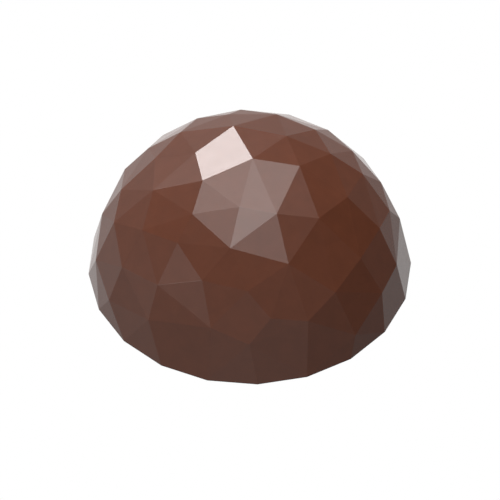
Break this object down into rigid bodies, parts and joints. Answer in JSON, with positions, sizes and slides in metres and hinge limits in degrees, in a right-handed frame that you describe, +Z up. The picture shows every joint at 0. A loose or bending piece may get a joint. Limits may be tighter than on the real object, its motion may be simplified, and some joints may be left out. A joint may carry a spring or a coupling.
{
  "type": "chocolate praline",
  "caption": "Half-ball chocolate praline with a flat underside, its dome cut all over in flat gem-like facets.",
  "frame": {"origin": "middle of the flat underside, on the surface that the praline stands on", "axes": "+Z up through the crown, -Y towards the front as pictured, +X to the right"},
  "size_m": [0.03, 0.03, 0.0147],
  "materials": {
    "chocolate": "tempered chocolate, smooth from the mould, with a satin shine"
  },
  "bodies": {
    "root": {"praline": "chocolate"}
  },
  "joints": []
}
